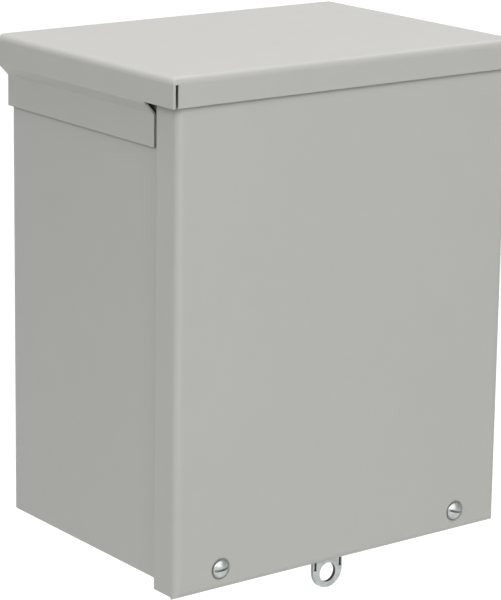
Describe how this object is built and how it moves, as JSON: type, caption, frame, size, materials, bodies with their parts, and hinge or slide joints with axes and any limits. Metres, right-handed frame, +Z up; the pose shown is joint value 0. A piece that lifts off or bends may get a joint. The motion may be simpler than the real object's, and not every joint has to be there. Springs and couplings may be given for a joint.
{
  "type": "screw-cover outdoor junction box",
  "caption": "Wall-hung sheet-steel junction box with an overhanging drip top, a slip-on cover held by slotted screws along its bottom, and a padlock tab below.",
  "frame": {"origin": "centre of the four wall-screw holes, in the plane of the bosses that meet the wall", "axes": "+X to the right of someone facing the cover, +Y into the wall, +Z up; the cover faces -Y"},
  "size_m": [0.218, 0.1547, 0.2777],
  "materials": {
    "grey_paint": "smooth light-grey polyester paint over galvanised steel, low gloss",
    "zinc_plate": "bright zinc plating",
    "nylon": "natural nylon",
    "green_finish": "green-dyed plating on a ground screw"
  },
  "bodies": {
    "box": {"body_shell": "grey_paint", "drip_top": "grey_paint", "bottom_panel": "grey_paint", "padlock_tab": "zinc_plate", "tab_rivet_left": "zinc_plate", "tab_rivet_right": "zinc_plate", "knockout_ring_left": "grey_paint", "knockout_disc_left": "grey_paint", "knockout_ring_centre": "grey_paint", "knockout_disc_centre": "grey_paint", "knockout_ring_right": "grey_paint", "knockout_disc_right": "grey_paint"},
    "cover": {"cover": "grey_paint"},
    "screw_left": {"cover_screw_left": "zinc_plate", "screw_retainer_left": "nylon"},
    "screw_right": {"cover_screw_right": "zinc_plate", "screw_retainer_right": "nylon"},
    "nut_left": {"cover_nut_left": "zinc_plate"},
    "nut_right": {"cover_nut_right": "zinc_plate"},
    "ground": {"ground_screw": "green_finish", "ground_washer": "zinc_plate"}
  },
  "joints": [
    {"name": "cover_slide", "type": "slide", "parent": "box", "child": "cover", "axis": [0, 0, -1], "range_m": [0, 0.285]},
    {"name": "screw_left_turn", "type": "hinge", "parent": "cover", "child": "screw_left", "pos_m": [-0.0762, -0.1515, -0.1215], "axis": [0, -1, 0], "range_deg": [0, 1440]},
    {"name": "nut_left_travel", "type": "slide", "parent": "cover", "child": "nut_left", "axis": [0, 1, 0], "range_m": [0, 0.00317]},
    {"name": "screw_right_turn", "type": "hinge", "parent": "cover", "child": "screw_right", "pos_m": [0.0762, -0.1515, -0.1215], "axis": [0, -1, 0], "range_deg": [0, 1440]},
    {"name": "nut_right_travel", "type": "slide", "parent": "cover", "child": "nut_right", "axis": [0, 1, 0], "range_m": [0, 0.00317]},
    {"name": "ground_turn", "type": "hinge", "parent": "box", "child": "ground", "pos_m": [0.0416, -0.0085, -0.087], "axis": [0, -1, 0], "continuous": true}
  ],
  "couplings": [
    {"joint": "screw_left_turn", "follows": "nut_left_travel", "rad_per_m": 7915.8},
    {"joint": "screw_right_turn", "follows": "nut_right_travel", "rad_per_m": 7915.8}
  ]
}
